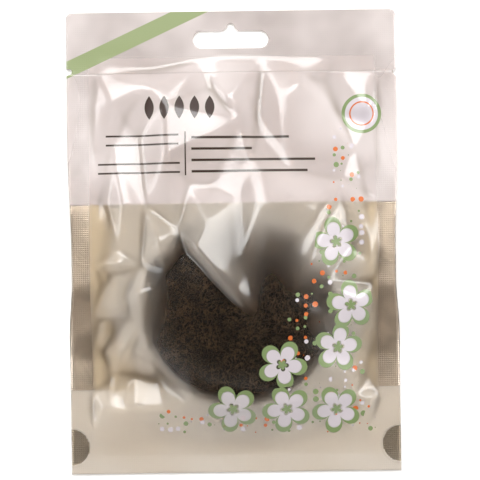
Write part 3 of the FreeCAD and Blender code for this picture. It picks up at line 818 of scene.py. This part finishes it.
def blossoms(tree, inMm):
    # Five-petalled blossoms, each turned by chance. Returns their fill and their border
    moved = addNode(tree, "VectorMath", plus, {0: inMm, 1: blossom["shift"]})
    cells = addNode(tree, "TexVoronoi", flatCells, {
        "Vector": moved, "Scale": 1 / blossom["pitch"], "Randomness": blossom["scatter"]})
    middle = addNode(tree, "VectorMath", minus,
                     {0: cells.outputs["Position"], 1: blossom["shift"]})
    local = addNode(tree, "VectorMath", minus, {0: inMm, 1: middle})
    flat = addNode(tree, "VectorMath", times, {0: local, 1: (1, 1, 0)})
    reach = addNode(tree, "VectorMath", {"operation": "LENGTH"}, {0: flat}).outputs["Value"]
    parts = addNode(tree, "SeparateXYZ", links={0: flat})
    angle = addNode(tree, "Math", {"operation": "ARCTAN2"},
                    {0: parts.outputs[1], 1: parts.outputs[0]})
    chance = addNode(tree, "SeparateColor", links={0: cells.outputs["Color"]})
    turned = addNode(tree, "Math", timesPlus,
                     {0: chance.outputs[0], 1: blossom["turn"], 2: angle})
    turned = addNode(tree, "Math", times, {0: turned, 1: blossom["petals"] / 2})
    wave = addNode(tree, "Math", {"operation": "COSINE"}, {0: turned})
    lobe = addNode(tree, "Math", unsigned, {0: wave})
    lobe = addNode(tree, "Math", {"operation": "POWER"}, {0: lobe, 1: blossom["roundness"]})
    size = addNode(tree, "Math", timesPlus,
                   {0: lobe, 1: blossom["swell"], 2: blossom["waist"]})
    size = addNode(tree, "Math", times, {0: size, 1: blossom["radius"]})
    share = addNode(tree, "Math", shareOf, {0: reach, 1: size})
    fill, border, eye = (
        within(tree, share, blossom[part], blossom["soft"]) for part in ("fill", "border", "eye")
    )
    border = addNode(tree, "Math", larger, {0: border, 1: eye})
    band = inGarland(tree, middle, blossom["top"], blossom["armEnd"])
    fill = addNode(tree, "Math", times, {0: fill, 1: band})
    border = addNode(tree, "Math", times, {0: border, 1: band})
    return fill, border


stripe = {"across": (-0.4186, 0.9082, 0), "span": (92.9, 99.6)}
scattered = {
    "pitch": 3.4, "scatter": 0.9, "chance": (0.3, 1.0), "size": 0.36, "top": 48.0,
    "armEnd": -34.0, "leafFrom": 0.35, "petalFrom": 0.7,
}
ring = {
    "middle": (55.0, 53.5, 0), "disc": (-1.0, 7.6), "band": (7.0, 8.4), "line": (4.6, 5.2),
}
barRows = {
    "corner": fromPhoto(192, 139), "above": 1.1, "pitch": 4.75, "rows": (-0.5, 3.5),
    "bar": (0.12, 0.34), "barSoft": 0.03, "shortest": 20, "longest": 56, "end": 60,
    "pairs": ((-53.4, -22.3, 43.2), (-56.8, -21.9, 31.3)), "pairLine": (1.5, 2.3),
    "uprightAcross": (-19.9, -19.3), "uprightUp": (28.0, 46.5),
}
leafRow = {"span": (-38.0, -6.0), "pitch": 6.4, "level": 56.9, "half": 5.0, "slim": 3.2}


def filmPrint(tree, inMm, x, y):
    # Returns the ink's colour and where it lies
    soft, crisp, finest = printed["soft"], printed["crisp"], printed["finest"]
    petal, leaf, ink = (linear(printed[tint]) for tint in ("petal", "leaf", "ink"))
    along = addNode(tree, "VectorMath", {"operation": "DOT_PRODUCT"},
                    {0: inMm, 1: stripe["across"]}).outputs["Value"]
    mask = within(tree, along, stripe["span"], soft)
    colour = addNode(tree, "RGB")
    colour.outputs[0].default_value = linear(printed["stripe"])
    layers = []

    # Dots of three colours
    cells = addNode(tree, "TexVoronoi", flatCells, {
        "Vector": inMm, "Scale": 1 / scattered["pitch"], "Randomness": scattered["scatter"]})
    chance = addNode(tree, "SeparateColor", links={0: cells.outputs["Color"]})
    rare, sure = scattered["chance"]
    dotSize = addNode(tree, "MapRange", links={
        0: chance.outputs[0], 1: rare, 2: sure, 3: 0.0, 4: scattered["size"]})
    dots = addNode(tree, "Math", lessThan, {0: cells.outputs["Distance"], 1: dotSize})
    band = inGarland(tree, cells.outputs["Position"], scattered["top"], scattered["armEnd"])
    dots = addNode(tree, "Math", times, {0: dots, 1: band})
    dotColour = addNode(tree, "ValToRGB", links={0: chance.outputs[1]})
    ramp = dotColour.color_ramp
    ramp.interpolation = "CONSTANT"
    ramp.elements[0].color = linear(printed["dot"])
    ramp.elements[1].position, ramp.elements[1].color = scattered["leafFrom"], leaf
    ramp.elements.new(scattered["petalFrom"]).color = petal
    layers.append((dots, dotColour))

    fill, border = blossoms(tree, inMm)
    layers += [(border, leaf), (fill, petal)]

    flat = addNode(tree, "VectorMath", times, {0: inMm, 1: (1, 1, 0)})
    fromRing = addNode(tree, "VectorMath", distance, {0: flat, 1: ring["middle"]})
    fromRing = fromRing.outputs["Value"]
    layers.append((within(tree, fromRing, ring["disc"], soft), petal))
    layers.append((within(tree, fromRing, ring["band"], soft), leaf))
    layers.append((within(tree, fromRing, ring["line"], soft), linear(printed["dot"])))

    # Rows of plain bars of different lengths
    left, top = barRows["corner"]
    down = addNode(tree, "Math", minus, {0: top + barRows["above"], 1: y})
    rowAt = addNode(tree, "Math", shareOf, {0: down, 1: barRows["pitch"]})
    rowNumber = addNode(tree, "Math", {"operation": "FLOOR"}, {0: rowAt})
    rowShare = addNode(tree, "Math", {"operation": "FRACT"}, {0: rowAt})
    bar = within(tree, rowShare, barRows["bar"], barRows["barSoft"])
    rowEnd = addNode(tree, "TexWhiteNoise", {"noise_dimensions": "1D"}, {"W": rowNumber})
    reach = addNode(tree, "MapRange", links={
        0: rowEnd, 1: 0.0, 2: 1.0, 3: left + barRows["shortest"], 4: left + barRows["longest"]})
    short = addNode(tree, "Math", lessThan, {0: x, 1: reach})
    bars = addNode(tree, "Math", times, {0: bar, 1: short})
    rows = within(tree, rowNumber, barRows["rows"], crisp)
    field = within(tree, x, (left, left + barRows["end"]), crisp)
    field = addNode(tree, "Math", times, {0: rows, 1: field})
    layers.append((addNode(tree, "Math", times, {0: bars, 1: field}), ink))

    # Two pairs of bars at the left and an upright line between
    for low, high, level in barRows["pairs"]:
        off = addNode(tree, "Math", minus, {0: y, 1: level})
        off = addNode(tree, "Math", unsigned, {0: off})
        pair = within(tree, off, barRows["pairLine"], crisp)
        reach = within(tree, x, (low, high), crisp)
        layers.append((addNode(tree, "Math", times, {0: pair, 1: reach}), ink))
    upright = within(tree, x, barRows["uprightAcross"], finest)
    reach = within(tree, y, barRows["uprightUp"], crisp)
    layers.append((addNode(tree, "Math", times, {0: upright, 1: reach}), ink))

    # Five pointed leaves in a row
    across = addNode(tree, "Math", minus, {0: x, 1: leafRow["span"][0]})
    across = addNode(tree, "Math", shareOf, {0: across, 1: leafRow["pitch"]})
    across = addNode(tree, "Math", {"operation": "FRACT"}, {0: across})
    across = addNode(tree, "Math", minus, {0: across, 1: 0.5})
    across = addNode(tree, "Math", unsigned, {0: across})
    up = addNode(tree, "Math", minus, {0: y, 1: leafRow["level"]})
    up = addNode(tree, "Math", shareOf, {0: up, 1: leafRow["half"]})
    up = addNode(tree, "Math", times, {0: up, 1: up})
    outline = addNode(tree, "Math", timesPlus, {0: across, 1: leafRow["slim"], 2: up})
    leaves = within(tree, outline, (-1.0, 1.0), finest)
    reach = within(tree, x, leafRow["span"], crisp)
    layers.append((addNode(tree, "Math", times, {0: leaves, 1: reach}), ink))

    for where, tint in layers:
        colour = addNode(tree, "Mix", colourMix, {0: where, 6: colour, 7: tint}).outputs[2]
        mask = addNode(tree, "Math", larger, {0: mask, 1: where})
    return colour, mask


# Front film: matt cast polypropylene, 150 micrometres, sealing side hazy and outside
# glossy, so it shows what touches it sharply and blurs and veils what lies deeper.
# Above the window it is flooded with a thin pearly white. Depths and sizes are in mm.
clearFilm = {
    # The crease colour is painted shade, mixed into the film's colour in its sharp valleys
    "pearl": "#EAE1DF", "plain": "#F4EEE6", "crease": "#978B79", "creaseShare": 0.5,
    "ior": 1.45, "matt": 0.12, "gloss": 1.0, "silk": 0.15,
    "windowTop": (15.4, 17.0),
    # From one depth to another, from one value to another
    "milk": (2.0, 7.0, 0.0, 0.21), "haze": (0.5, 2.6, 0.12, 0.85),
    "pearlMilk": (0.5, 12.0, 0.66, 0.5),
    "footMilk": 0.2, "footFrom": (41.5, 50.0), "footLow": -99.0, "footSoft": 0.3,
    "sealMilk": 0.14, "sealSoft": 0.4, "spotShare": -0.8,
    "cloudPerMm": 0.035, "cloud": (0.3, 0.7, 0.75, 1.2),
    "ripplePerMm": 0.18, "ripple": 0.35, "bump": 0.22, "bumpHeight": 0.2,
}
inkLook = {"roughness": 0.38, "coat": 0.6, "coatRoughness": 0.1}


def makeClearFilm():
    material, tree, inMm = newMaterial("matt_cast_polypropylene_film")
    parts = addNode(tree, "SeparateXYZ", links={0: inMm})
    x, y = parts.outputs[0], parts.outputs[1]
    low, high = clearFilm["windowTop"]
    upper = addNode(tree, "MapRange", smooth, {0: y, 1: low, 2: high, 3: 0.0, 4: 1.0})
    cloud = addNode(tree, "TexNoise", flatNoise,
                    {"Vector": inMm, "Scale": clearFilm["cloudPerMm"], "Detail": 2.0})
    deep = addNode(tree, "Attribute", {"attribute_name": "depthBelow"}).outputs["Fac"]
    levels = []
    for kind in ("milk", "haze", "pearlMilk"):
        near, far, least, most = clearFilm[kind]
        levels.append(addNode(tree, "MapRange", smooth,
                              {0: deep, 1: near, 2: far, 3: least, 4: most}))
    clear, haze, pearly = levels
    milk = addNode(tree, "MapRange", links={0: upper, 1: 0.0, 2: 1.0, 3: clear, 4: pearly})
    # Over the gusset and along the bottom seal the film looks pearly, not over the sponge
    flat = addNode(tree, "CombineXYZ", links={0: x, 1: y})
    off = addNode(tree, "VectorMath", distance, {0: flat, 1: (ball["x"], ball["y"], 0)})
    low, high = clearFilm["footFrom"]
    foot = addNode(tree, "MapRange", smooth,
                   {0: off.outputs["Value"], 1: low, 2: high, 3: 0.0, 4: clearFilm["footMilk"]})
    gussetSpan = (clearFilm["footLow"], pouch["fold"])
    sealSpan = (clearFilm["footLow"], pouch["bottomSeal"])
    foot = addNode(tree, "Math", times,
                   {0: foot, 1: within(tree, y, gussetSpan, clearFilm["footSoft"])})
    press = within(tree, y, sealSpan, clearFilm["sealSoft"])
    foot = addNode(tree, "Math", timesPlus, {0: press, 1: clearFilm["sealMilk"], 2: foot})
    milk = addNode(tree, "Math", larger, {0: milk, 1: foot})
    low, high, least, most = clearFilm["cloud"]
    uneven = addNode(tree, "MapRange", links={0: cloud, 1: low, 2: high, 3: least, 4: most})
    dots, _, disc = sealBump(tree, inMm, x, y)
    unspotted = addNode(tree, "Math", timesPlus, {0: disc, 1: clearFilm["spotShare"], 2: 1.0})
    milk = addNode(tree, "Math", times, {0: milk, 1: uneven})
    milk = addNode(tree, "Math", times, {0: milk, 1: unspotted})
    through = addNode(tree, "Math", minus, {0: 1.0, 1: milk})
    ripple = addNode(tree, "TexNoise", flatNoise, {
        "Vector": inMm, "Scale": clearFilm["ripplePerMm"], "Detail": 3.0, "Roughness": 0.5})
    height = addNode(tree, "Math", timesPlus, {0: ripple, 1: clearFilm["ripple"], 2: dots})
    bump = addNode(tree, "Bump", links={
        "Strength": clearFilm["bump"], "Distance": clearFilm["bumpHeight"] * mm,
        "Height": height})
    tint = addNode(tree, "Mix", colourMix,
                   {0: upper, 6: linear(clearFilm["plain"]), 7: linear(clearFilm["pearl"])})
    # Painted shade: in the film's sharp valleys its colour is mixed up to halfway towards a
    # grey-brown
    paintedValleyShade = addNode(tree, "Attribute", {"attribute_name": "valleyShade"}).outputs["Fac"]
    paintedValleyShade = addNode(tree, "Math", times, {0: paintedValleyShade, 1: clearFilm["creaseShare"]})
    tint = addNode(tree, "Mix", colourMix,
                   {0: paintedValleyShade, 6: tint.outputs[2], 7: linear(clearFilm["crease"])})
    # Only the outside is glossy: the sealing side hardly mirrors
    inside = addNode(tree, "NewGeometry").outputs["Backfacing"]
    outside = addNode(tree, "Math", minus, {0: clearFilm["gloss"], 1: inside})
    matt = clearFilm["matt"]
    film = addNode(tree, "BsdfPrincipled", links={
        "Base Color": tint.outputs[2], "Roughness": haze,
        "IOR": clearFilm["ior"], "Specular Tint": (matt, matt, matt, 1.0),
        "Transmission Weight": through, "Normal": bump,
        "Coat Weight": outside, "Coat Roughness": clearFilm["silk"], "Coat Normal": bump,
    })
    colour, mask = filmPrint(tree, inMm, x, y)
    ink = addNode(tree, "BsdfPrincipled", links={
        "Base Color": colour, "Roughness": inkLook["roughness"],
        "Coat Weight": inkLook["coat"], "Coat Roughness": inkLook["coatRoughness"],
        "Normal": bump, "Coat Normal": bump,
    })
    finishMaterial(tree, addNode(tree, "MixShader", links={0: mask, 1: film, 2: ink}))
    return material


# Back film: vacuum-metallised polyester, a thin bright skin with a warm grey cast that
# mirrors the lamps softly through the front film. Sizes are in mm.
metalFilm = {
    "bright": "#E4DAC4", "dull": "#FBF2E8", "pressed": "#DCD3C9", "spot": "#A79C8A",
    "metal": 0.7, "roughness": 0.32, "crinklePerMm": 0.06, "crinkle": 4.0, "crinkleWarp": 1.2,
    "patchPerMm": 0.07, "patch": (0.38, 0.62), "bump": 0.4, "bumpHeight": 0.4,
}


def makeMetalFilm():
    material, tree, inMm = newMaterial("metallised_polyester_film")
    parts = addNode(tree, "SeparateXYZ", links={0: inMm})
    dots, pressed, disc = sealBump(tree, inMm, parts.outputs[0], parts.outputs[1])
    crinkle = addNode(tree, "TexNoise", flatNoise, {
        "Vector": inMm, "Scale": metalFilm["crinklePerMm"], "Detail": 4.0,
        "Distortion": metalFilm["crinkleWarp"]})
    patch = addNode(tree, "TexNoise", flatNoise,
                    {"Vector": inMm, "Scale": metalFilm["patchPerMm"], "Detail": 2.0})
    low, high = metalFilm["patch"]
    patch = addNode(tree, "MapRange", links={0: patch, 1: low, 2: high, 3: 0.0, 4: 1.0})
    worn = addNode(tree, "Mix", colourMix,
                   {0: patch, 6: linear(metalFilm["dull"]), 7: linear(metalFilm["pressed"])})
    tone = addNode(tree, "Mix", colourMix,
                   {0: pressed, 6: linear(metalFilm["bright"]), 7: worn.outputs[2]})
    tone = addNode(tree, "Mix", colourMix,
                   {0: disc, 6: tone.outputs[2], 7: linear(metalFilm["spot"])})
    height = addNode(tree, "Math", timesPlus, {0: crinkle, 1: metalFilm["crinkle"], 2: dots})
    bump = addNode(tree, "Bump", links={
        "Strength": metalFilm["bump"], "Distance": metalFilm["bumpHeight"] * mm,
        "Height": height})
    metal = addNode(tree, "BsdfPrincipled", links={
        "Base Color": tone.outputs[2], "Metallic": metalFilm["metal"],
        "Roughness": metalFilm["roughness"], "Normal": bump,
    })
    finishMaterial(tree, metal)
    return material


# Gusset: pearl-white polyethylene film, satin and faintly cloudy
gussetFilm = {
    "pearl": "#E1DFDB", "shade": "#D0CCC5", "roughness": 0.4, "cloudPerMm": 0.05,
    "bump": 0.3, "bumpHeight": 0.5,
}


def makeGussetFilm():
    material, tree, inMm = newMaterial("pearl_polyethylene_film")
    cloud = addNode(tree, "TexNoise", flatNoise,
                    {"Vector": inMm, "Scale": gussetFilm["cloudPerMm"], "Detail": 3.0})
    tone = addNode(tree, "Mix", colourMix,
                   {0: cloud, 6: linear(gussetFilm["shade"]), 7: linear(gussetFilm["pearl"])})
    bump = addNode(tree, "Bump", links={
        "Strength": gussetFilm["bump"], "Distance": gussetFilm["bumpHeight"] * mm,
        "Height": cloud})
    film = addNode(tree, "BsdfPrincipled", links={
        "Base Color": tone.outputs[2], "Roughness": gussetFilm["roughness"], "Normal": bump,
    })
    finishMaterial(tree, film)
    return material


# Sponge: konjac foam dyed with charcoal, set and dried to a dull open skin of short curled strands
# about 0.4 mm thick, drawn here at 0.85 mm so that they show. The raised strands are painted
# lighter, a painted highlight, and the low pores darker, a painted shade
foamLook = {
    # The deep tone is painted shade in the low pores, and the strand tone is a painted highlight on
    # the raised strands
    "deep": "#060200", "body": "#1D130B", "highlitStrand": "#6A5747", "strandSize": 0.85,
    "cell": 2.5, "warpPerMm": 0.45, "warp": 2.6, "line": (0.01, 0.05),
    "porePerMm": 1.6, "pore": 0.8, "poreShadeAt": 0.35, "bodyAt": 0.7,
    "patchPerMm": 0.12, "patch": (0.35, 0.65, 0.45, 1.0), "roughness": 0.85, "bumpHeight": 0.5,
}


def makeFoam():
    material, tree, inMm = newMaterial("charcoal_konjac_foam")
    warp = addNode(tree, "TexNoise", links={
        "Vector": inMm, "Scale": foamLook["warpPerMm"], "Detail": 2.0})
    bent = addNode(tree, "VectorMath", timesPlus,
                   {0: warp.outputs["Color"], 1: (foamLook["warp"],) * 3, 2: inMm})
    highlitStrand = None
    strandScale = 1 / (foamLook["cell"] * foamLook["strandSize"])
    thin, thick = foamLook["line"]
    for offset in ((0, 0, 0), (31, 17, 5), (-23, 41, 11)):
        # A curled strand follows the line where a noise crosses its middle value
        moved = addNode(tree, "VectorMath", plus, {0: bent, 1: offset})
        field = addNode(tree, "TexNoise",
                        links={"Vector": moved, "Scale": strandScale, "Detail": 0.5})
        field = addNode(tree, "Math", minus, {0: field, 1: 0.5})
        field = addNode(tree, "Math", unsigned, {0: field})
        line = addNode(tree, "MapRange", links={0: field, 1: thin, 2: thick, 3: 1.0, 4: 0.0})
        highlitStrand = addNode(tree, "Math", larger, {0: highlitStrand, 1: line}) if highlitStrand else line
    pores = addNode(tree, "TexNoise", links={
        "Vector": inMm, "Scale": foamLook["porePerMm"], "Detail": 3.0})
    patch = addNode(tree, "TexNoise", links={
        "Vector": inMm, "Scale": foamLook["patchPerMm"], "Detail": 2.0})
    # Painted shade: where the pore noise is low, which the bump also makes low, the colour goes to
    # the near-black deep tone
    body = addNode(tree, "ValToRGB", links={0: pores})
    first, second = body.color_ramp.elements
    first.position, first.color = foamLook["poreShadeAt"], linear(foamLook["deep"])
    second.position, second.color = foamLook["bodyAt"], linear(foamLook["body"])
    low, high, least, most = foamLook["patch"]
    patch = addNode(tree, "MapRange", links={0: patch, 1: low, 2: high, 3: least, 4: most})
    # Painted highlight: the raised strands are mixed towards a lighter brown, in random patches
    lit = addNode(tree, "Math", times, {0: highlitStrand, 1: patch})
    tone = addNode(tree, "Mix", colourMix, {0: lit, 6: body, 7: linear(foamLook["highlitStrand"])})
    height = addNode(tree, "Math", timesPlus, {0: pores, 1: foamLook["pore"], 2: highlitStrand})
    bump = addNode(tree, "Bump", links={
        "Strength": 1.0, "Distance": foamLook["bumpHeight"] * mm, "Height": height})
    foamShader = addNode(tree, "BsdfPrincipled", links={
        "Base Color": tone.outputs[2], "Roughness": foamLook["roughness"], "Normal": bump,
    })
    finishMaterial(tree, foamShader)
    return material


clearMaterial = makeClearFilm()
metalMaterial = makeMetalFilm()
dressed = (
    (frontPanel, clearMaterial, "clear_film", "front_panel"),
    (headerFront, clearMaterial, "clear_film", "header_front_film"),
    (backPanel, metalMaterial, "metallised_film", "back_panel"),
    (headerBack, metalMaterial, "metallised_film", "header_back_film"),
    (gussetPiece, makeGussetFilm(), "gusset_film", "bottom_gusset"),
    (spongePiece, makeFoam(), "charcoal_konjac", "sponge"),
)
for piece, material, slotName, node in dressed:
    piece.data.materials.clear()
    piece.data.materials.append(material)
    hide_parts(node)
print("materials: done")

# Each film gets a mesh of its own
for film in (frontPanel, backPanel, gussetPiece):
    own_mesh(film)

# Floor, sky, lamps and camera. Lamps' places and sizes are in metres.
studio = {
    "floor": "#F4F4F4", "floorGlow": 0.25, "floorHalf": 1.5, "floorDrop": 0.2,
    "around": 0.92, "overhead": 0.06, "zenith": "#FFE2BE", "zenithFrom": (0.38, 0.82),
    "lens": 135.0, "sensor": 36.0, "camera": (2.77, 0.64, 766.0),
}
softboxes = {
    "key_softbox": {"place": (-0.15, 0.62, 0.85), "size": (0.75, 0.4), "strength": 9.2},
    "left_softbox": {"place": (-1.02, 0.1, 0.46), "size": (0.8, 0.25), "strength": 5.0},
    "right_softbox": {"place": (0.95, 0.2, 0.6), "size": (0.25, 0.8), "strength": 9.4},
}


def addFloor():
    bm = bmesh.new()
    bmesh.ops.create_grid(bm, x_segments=1, y_segments=1, size=studio["floorHalf"])
    bmesh.ops.translate(bm, verts=bm.verts, vec=(0, 0, -studio["floorDrop"] * mm))
    mesh = bpy.data.meshes.new("floor")
    bm.to_mesh(mesh)
    bm.free()
    floor = bpy.data.objects.new("floor", mesh)
    bpy.context.scene.collection.objects.link(floor)
    material, tree, _ = newMaterial("white_paper_sweep")
    paper = addNode(tree, "BsdfDiffuse", links={"Color": linear(studio["floor"])})
    glow = addNode(tree, "Emission",
                   links={"Color": (1.0, 1.0, 1.0, 1.0), "Strength": studio["floorGlow"]})
    # The paper shines for what sees it, also through film and in a mirror
    rays = addNode(tree, "LightPath").outputs
    seen = addNode(tree, "Math", larger, {0: rays["Is Camera Ray"], 1: rays["Is Glossy Ray"]})
    seen = addNode(tree, "Math", larger, {0: seen, 1: rays["Is Transmission Ray"]})
    lit = addNode(tree, "AddShader", links={0: paper, 1: glow})
    finishMaterial(tree, addNode(tree, "MixShader", links={0: seen, 1: paper, 2: lit}))
    mesh.materials.append(material)


def addSky():
    world = bpy.data.worlds.new("studio_white")
    world.use_nodes = True
    sky = world.node_tree
    sky.nodes.clear()
    way = addNode(sky, "TexCoord").outputs["Generated"]
    upward = addNode(sky, "SeparateXYZ", links={0: way}).outputs[2]
    low, high = studio["zenithFrom"]
    level = addNode(sky, "MapRange", smooth,
                    {0: upward, 1: low, 2: high, 3: studio["around"], 4: studio["overhead"]})
    hue = addNode(sky, "Mix", colourMix,
                  {0: level, 6: linear(studio["zenith"]), 7: (1.0, 1.0, 1.0, 1.0)})
    glow = addNode(sky, "Background", links={"Color": hue.outputs[2], "Strength": level})
    addNode(sky, "OutputWorld", links={"Surface": glow})
    bpy.context.scene.world = world


def addSoftbox(name, place, size, strength):
    lamp = bpy.data.lights.new(name, "AREA")
    lamp.shape = "RECTANGLE"
    lamp.size, lamp.size_y = size
    lamp.energy = strength * size[0] * size[1] * math.pi
    holder = bpy.data.objects.new(name, lamp)
    holder.location = place
    holder.rotation_euler = (-Vector(place)).to_track_quat("-Z", "Y").to_euler()
    bpy.context.scene.collection.objects.link(holder)


addFloor()
addSky()
for name, values in softboxes.items():
    addSoftbox(name, **values)

cameraData = bpy.data.cameras.new("overhead_camera")
cameraData.lens = studio["lens"]
cameraData.sensor_width = studio["sensor"]
camera = bpy.data.objects.new("overhead_camera", cameraData)
camera.location = Vector(studio["camera"]) * mm
camera.rotation_euler = (0, 0, -photo["turn"])
bpy.context.scene.collection.objects.link(camera)
bpy.context.scene.camera = camera
bpy.context.scene.view_settings.view_transform = "Standard"
print("studio: done")
